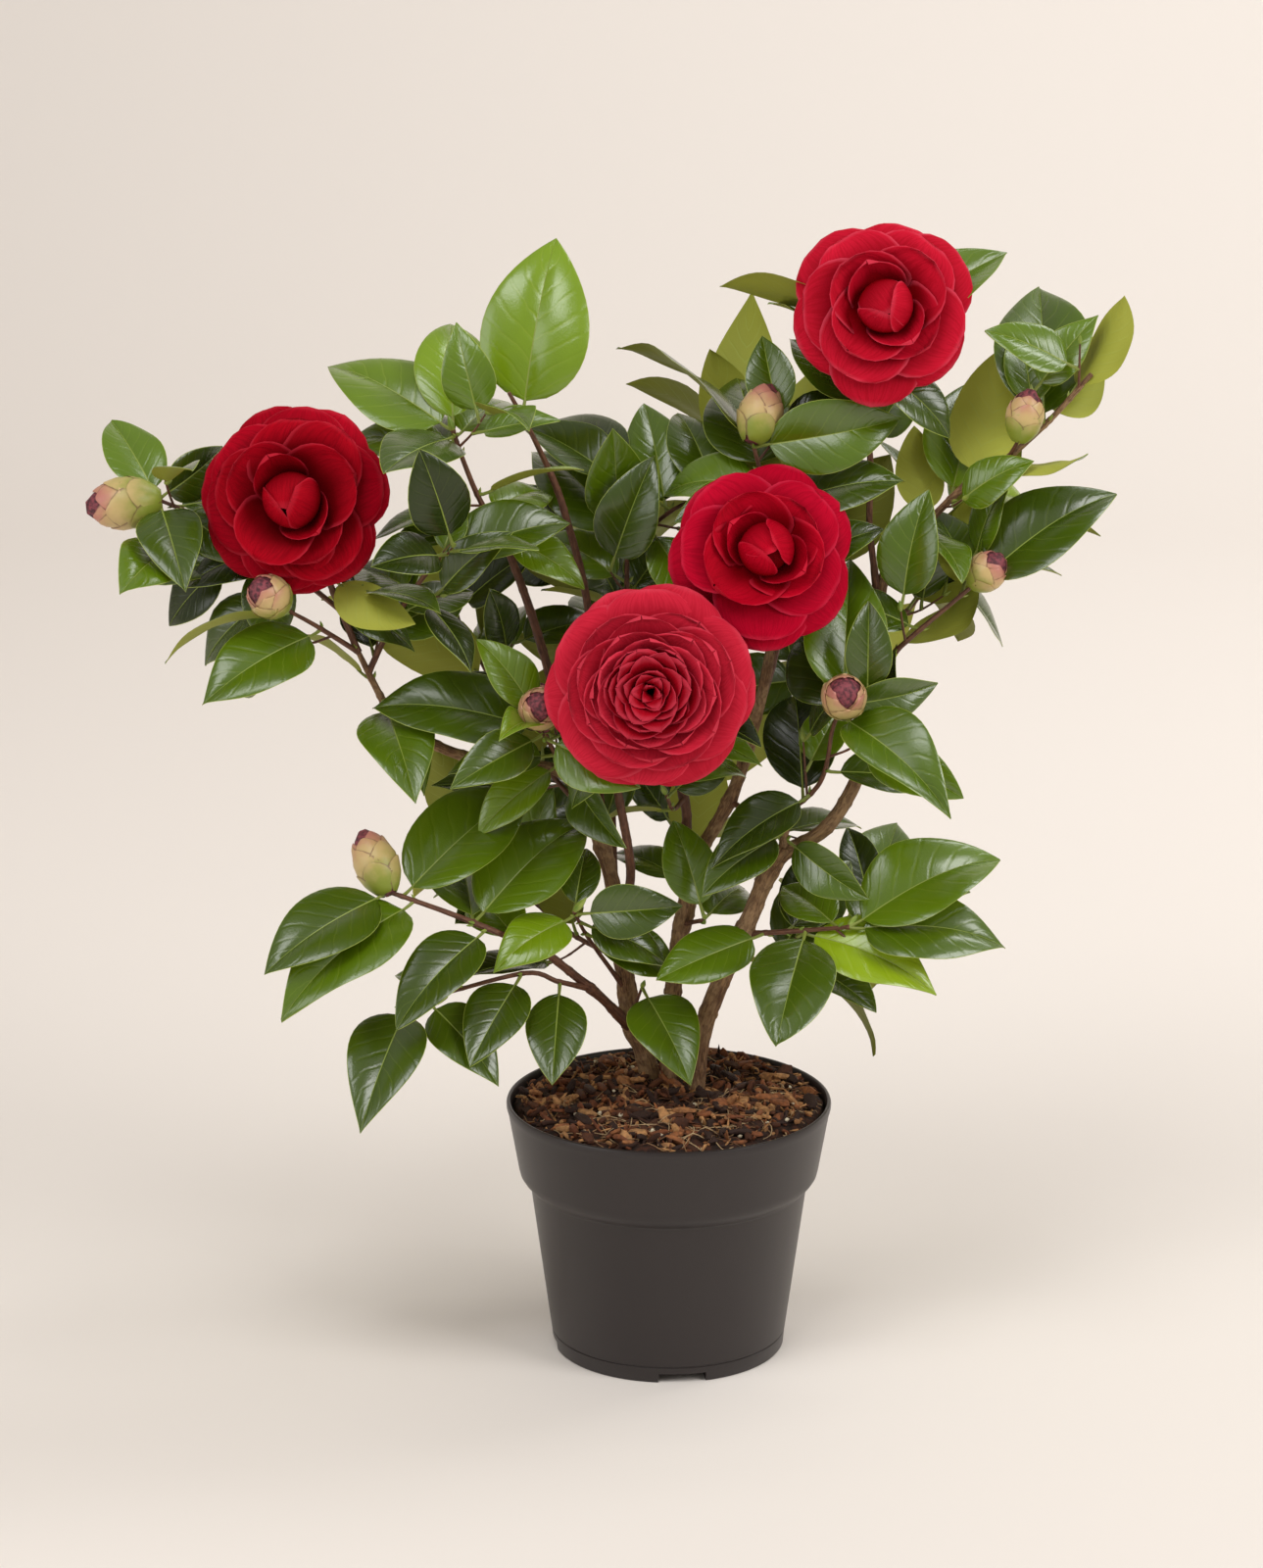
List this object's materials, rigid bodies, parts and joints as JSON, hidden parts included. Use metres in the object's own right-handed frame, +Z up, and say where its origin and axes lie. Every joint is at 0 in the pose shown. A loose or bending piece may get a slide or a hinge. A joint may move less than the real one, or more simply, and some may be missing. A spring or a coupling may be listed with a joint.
{
  "type": "camellia shrub in a nursery pot",
  "caption": "Flowering camellia shrub with glossy evergreen leaves, plump buds and double red blooms, growing in a round tapered nursery pot.",
  "frame": {"origin": "centre of the flat underside of the pot", "axes": "+Z up, -Y toward the side that the open blooms face, +X to the right of that view"},
  "size_m": [0.5248, 0.2814, 0.5984],
  "materials": {
    "pot": "satin charcoal black moulded plastic",
    "soil": "moist brown bark and fibre potting mix",
    "bark": "grey brown bark, finely furrowed",
    "foliage": "deep green glossy leaves with red blooms and pale buds"
  },
  "bodies": {
    "root": {"pot": "pot", "soil": "soil", "stem_left": "bark", "stem_centre": "bark", "stem_right": "bark", "bough_right": "bark", "bough_left": "bark", "bough_upper_left": "bark", "bough_lone": "bark", "bough_centre": "bark", "bough_rear": "bark", "bough_crown": "bark", "bough_front": "bark", "bough_low": "bark", "bloom_main": "foliage", "bloom_centre": "foliage", "shoot_left": "foliage", "shoot_upper_left": "foliage", "shoot_lone_leaf": "foliage", "shoot_top_bloom": "foliage", "shoot_crown": "foliage", "shoot_rear": "foliage", "shoot_right": "foliage", "shoot_right_bud": "foliage", "shoot_glossy": "foliage", "shoot_left_front": "foliage", "shoot_lower_right": "foliage", "shoot_fork": "foliage", "shoot_centre_low": "foliage", "shoot_centre_front": "foliage", "shoot_lower_left": "foliage", "shoot_foot_left": "foliage", "shoot_low_centre": "foliage", "shoot_foot": "foliage", "rear_left": "foliage", "rear_centre": "foliage", "rear_right": "foliage", "rear_low_left": "foliage", "rear_low_right": "foliage", "rear_middle": "foliage", "rear_top_right": "foliage", "rear_top": "foliage"}
  },
  "joints": []
}
